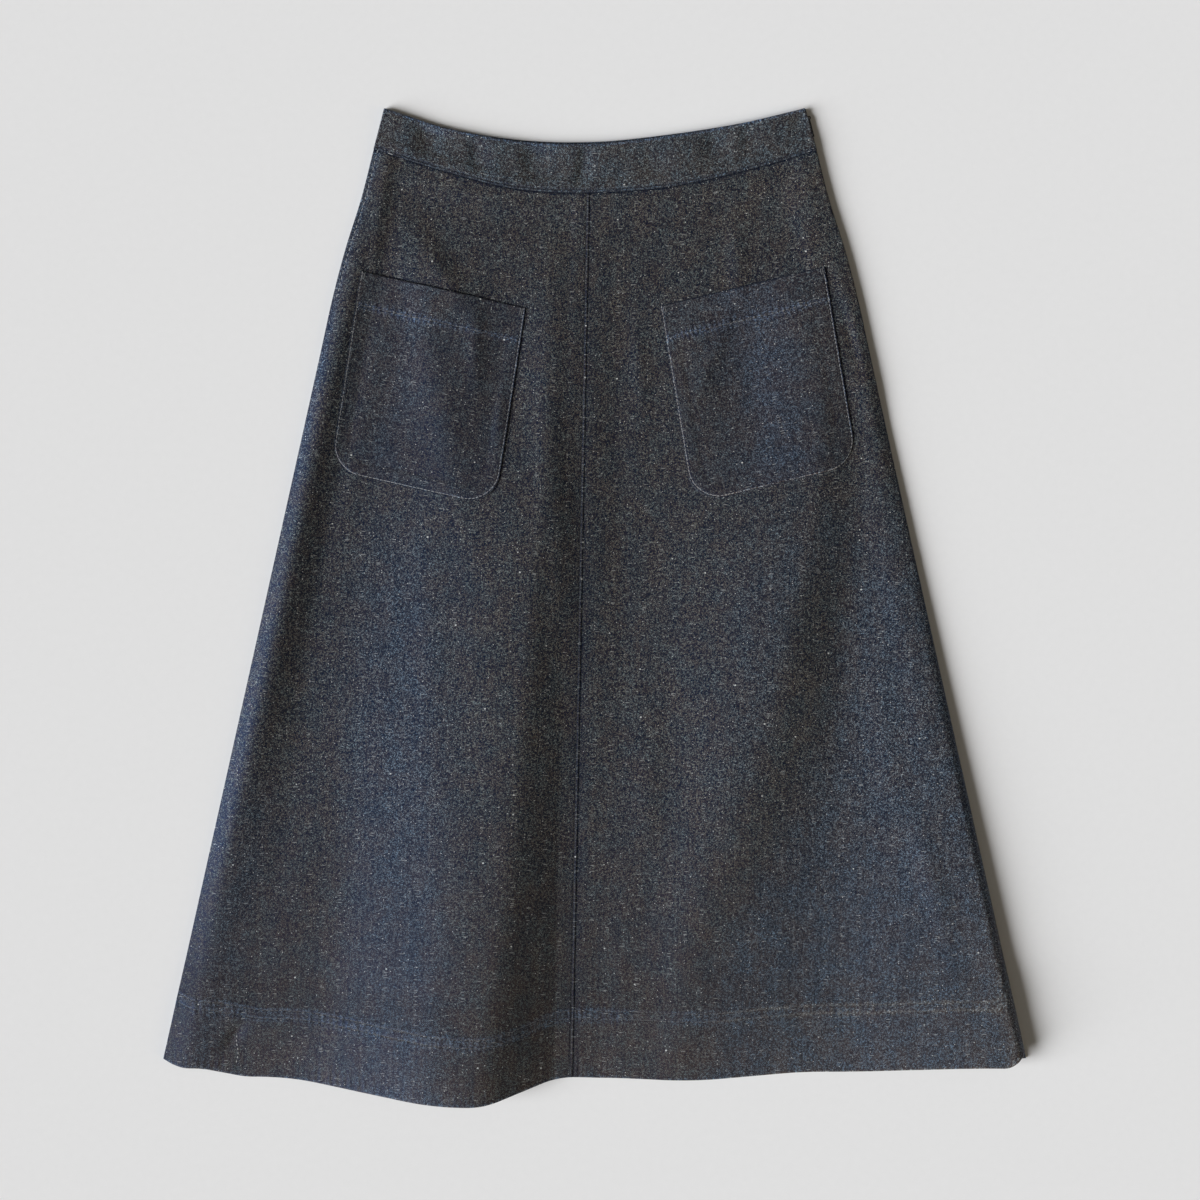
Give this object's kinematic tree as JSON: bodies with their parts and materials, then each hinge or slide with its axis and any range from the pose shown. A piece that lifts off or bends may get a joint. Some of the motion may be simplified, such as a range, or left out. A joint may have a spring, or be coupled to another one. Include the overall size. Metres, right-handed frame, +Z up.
{
  "type": "denim skirt",
  "caption": "A-line denim midi skirt laid flat on its back, with a curved waistband, patch pockets, a side zip and a wide turned hem.",
  "frame": {"origin": "centre of the skirt's plan box, on the surface that it lies on", "axes": "+Y points to the waist, +X to the right of a viewer who looks at the front, +Z up from the surface to the front of the skirt"},
  "size_m": [0.7321, 0.8445, 0.0254],
  "materials": {
    "denim": "dark indigo unwashed denim twill with pale slubs, matt",
    "denim_band": "the same denim, two layers, edge-stitched",
    "denim_pocket": "the same denim, edge-stitched in a paler thread",
    "zip_tape": "navy woven zip tape",
    "zip_metal": "dark enamelled metal, satin"
  },
  "bodies": {
    "skirt": {"back": "denim", "front_left": "denim", "front_right": "denim", "waistband_back": "denim_band", "waistband_front": "denim_band", "pocket_left": "denim_pocket", "pocket_right": "denim_pocket", "zip_tapes": "zip_tape", "zip_slider": "zip_metal"},
    "pull": {"zip_pull": "zip_metal"}
  },
  "joints": [
    {"name": "pull_swing", "type": "hinge", "parent": "skirt", "child": "pull", "pos_m": [0.18159, 0.41348, 0.00255], "axis": [0, 0, 1], "range_deg": [0, 170]}
  ]
}
